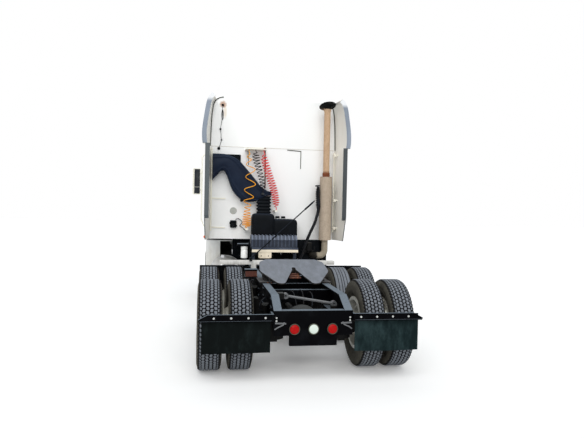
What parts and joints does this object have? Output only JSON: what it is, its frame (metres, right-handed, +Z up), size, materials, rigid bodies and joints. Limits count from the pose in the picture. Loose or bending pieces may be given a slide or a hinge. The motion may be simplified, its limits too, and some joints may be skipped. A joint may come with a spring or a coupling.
{
  "type": "high-roof sleeper cabover tractor unit",
  "caption": "Tractor unit with a tilting high-roof sleeper cab over the engine, a steered axle, tandem driven axles on twin wheels and a tilting coupling plate.",
  "frame": {"origin": "on the ground, at the middle of the whole vehicle's box", "axes": "+X forward along the vehicle, +Y to its left, +Z up"},
  "size_m": [6.587, 2.91, 3.8459],
  "materials": {
    "frame_paint": "weathered black chassis paint with dust",
    "axle_iron": "painted and dusty castings",
    "engine_iron": "plain casting",
    "worn_steel": "greased and scraped coupling plate",
    "tyre_rubber": "dusty tread rubber",
    "rim_steel": "off-white rim paint",
    "white_paint": "gloss white, weathered",
    "cream_steel": "aged cream tube paint",
    "window_glass": "tinted glass",
    "lamp_glass": "clear lamp lens",
    "lamp_lens": "red and clear lamp lenses",
    "dark_plastic": "faded moulded plastic",
    "duct_plastic": "blue-black moulded duct",
    "flap_rubber": "rubber sheet",
    "tank_alloy": "dull alloy",
    "exhaust_steel": "heat stained and rusty steel",
    "trim_plastic": "grained cab trim",
    "seat_fabric": "woven seat cloth",
    "red_hose": "coiled red hose",
    "yellow_hose": "coiled yellow hose",
    "black_hose": "coiled black cable"
  },
  "bodies": {
    "chassis": {"frame_rails": "frame_paint", "crossmembers": "frame_paint", "rear_crossmember": "frame_paint", "rear_lamps": "lamp_lens", "mudflap_hangers": "frame_paint", "mudflaps": "flap_rubber", "quarter_fenders": "dark_plastic", "front_axle": "axle_iron", "front_springs": "axle_iron", "drive_axles": "axle_iron", "propshafts": "axle_iron", "rear_suspension": "axle_iron", "fifth_wheel_stands": "frame_paint", "power_unit": "engine_iron", "tanks_and_battery_box": "tank_alloy", "exhaust_stack": "exhaust_steel", "stack_stand": "frame_paint", "air_cleaner": "dark_plastic", "deck_box": "dark_plastic", "front_bumper": "dark_plastic", "headlamps": "lamp_glass", "front_fenders": "white_paint", "cab_pivots": "frame_paint"},
    "cab": {"cab_shell": "white_paint", "windscreen": "window_glass", "nose_panel": "white_paint", "roof_cap": "white_paint", "side_extenders": "white_paint", "intake_duct": "duct_plastic", "cab_stays": "cream_steel", "dashboard": "trim_plastic", "seats_and_bunk": "seat_fabric", "air_line_red": "red_hose", "air_line_yellow": "yellow_hose", "cable_black": "black_hose", "mirror_left": "cream_steel", "mirror_right": "cream_steel"},
    "fifth_wheel": {"fifth_wheel_plate": "worn_steel"},
    "tie_rod": {"tie_rod": "axle_iron"},
    "door_left": {"door_left": "white_paint", "door_glass_left": "window_glass"},
    "knuckle_left": {"knuckle_left": "axle_iron"},
    "wheel_steer_left": {"tyre_steer_left": "tyre_rubber", "rim_steer_left": "rim_steel"},
    "wheels_front_drive_left": {"tyres_front_drive_left": "tyre_rubber", "rims_front_drive_left": "rim_steel"},
    "wheels_rear_drive_left": {"tyres_rear_drive_left": "tyre_rubber", "rims_rear_drive_left": "rim_steel"},
    "door_right": {"door_right": "white_paint", "door_glass_right": "window_glass"},
    "knuckle_right": {"knuckle_right": "axle_iron"},
    "wheel_steer_right": {"tyre_steer_right": "tyre_rubber", "rim_steer_right": "rim_steel"},
    "wheels_front_drive_right": {"tyres_front_drive_right": "tyre_rubber", "rims_front_drive_right": "rim_steel"},
    "wheels_rear_drive_right": {"tyres_rear_drive_right": "tyre_rubber", "rims_rear_drive_right": "rim_steel"}
  },
  "joints": [
    {"name": "cab_tilt", "type": "hinge", "parent": "chassis", "child": "cab", "pos_m": [3.1435, 0, 0.95], "axis": [0, 1, 0], "range_deg": [0, 60]},
    {"name": "door_left_hinge", "type": "hinge", "parent": "cab", "child": "door_left", "pos_m": [2.8265, 1.15, 1.6], "axis": [0, 0, -1], "range_deg": [0, 70]},
    {"name": "door_right_hinge", "type": "hinge", "parent": "cab", "child": "door_right", "pos_m": [2.8265, -1.15, 1.6], "axis": [0, 0, 1], "range_deg": [0, 70]},
    {"name": "steer_left", "type": "hinge", "parent": "chassis", "child": "knuckle_left", "pos_m": [1.9635, 0.872, 0.52], "axis": [0, 0, 1], "range_deg": [-36, 36]},
    {"name": "steer_right", "type": "hinge", "parent": "chassis", "child": "knuckle_right", "pos_m": [1.9635, -0.872, 0.52], "axis": [0, 0, 1], "range_deg": [-36, 36]},
    {"name": "tie_rod_ball", "type": "hinge", "parent": "knuckle_left", "child": "tie_rod", "pos_m": [1.7485, 0.8, 0.372], "axis": [0, 0, 1], "range_deg": [-36, 36]},
    {"name": "fifth_wheel_tilt", "type": "hinge", "parent": "chassis", "child": "fifth_wheel", "pos_m": [-1.875, 0, 1.03], "axis": [0, 1, 0], "range_deg": [0, 29]},
    {"name": "roll_steer_left", "type": "hinge", "parent": "knuckle_left", "child": "wheel_steer_left", "pos_m": [1.9635, 1.015, 0.52], "axis": [0, 1, 0], "continuous": true},
    {"name": "roll_front_drive_left", "type": "hinge", "parent": "chassis", "child": "wheels_front_drive_left", "pos_m": [-1.2535, 0.926, 0.52], "axis": [0, 1, 0], "continuous": true},
    {"name": "roll_rear_drive_left", "type": "hinge", "parent": "chassis", "child": "wheels_rear_drive_left", "pos_m": [-2.5835, 0.926, 0.52], "axis": [0, 1, 0], "continuous": true},
    {"name": "roll_steer_right", "type": "hinge", "parent": "knuckle_right", "child": "wheel_steer_right", "pos_m": [1.9635, -1.015, 0.52], "axis": [0, 1, 0], "continuous": true},
    {"name": "roll_front_drive_right", "type": "hinge", "parent": "chassis", "child": "wheels_front_drive_right", "pos_m": [-1.2535, -0.926, 0.52], "axis": [0, 1, 0], "continuous": true},
    {"name": "roll_rear_drive_right", "type": "hinge", "parent": "chassis", "child": "wheels_rear_drive_right", "pos_m": [-2.5835, -0.926, 0.52], "axis": [0, 1, 0], "continuous": true}
  ],
  "couplings": [
    {"joint": "steer_right", "follows": "steer_left", "ratio": 1},
    {"joint": "tie_rod_ball", "follows": "steer_left", "ratio": -1}
  ]
}
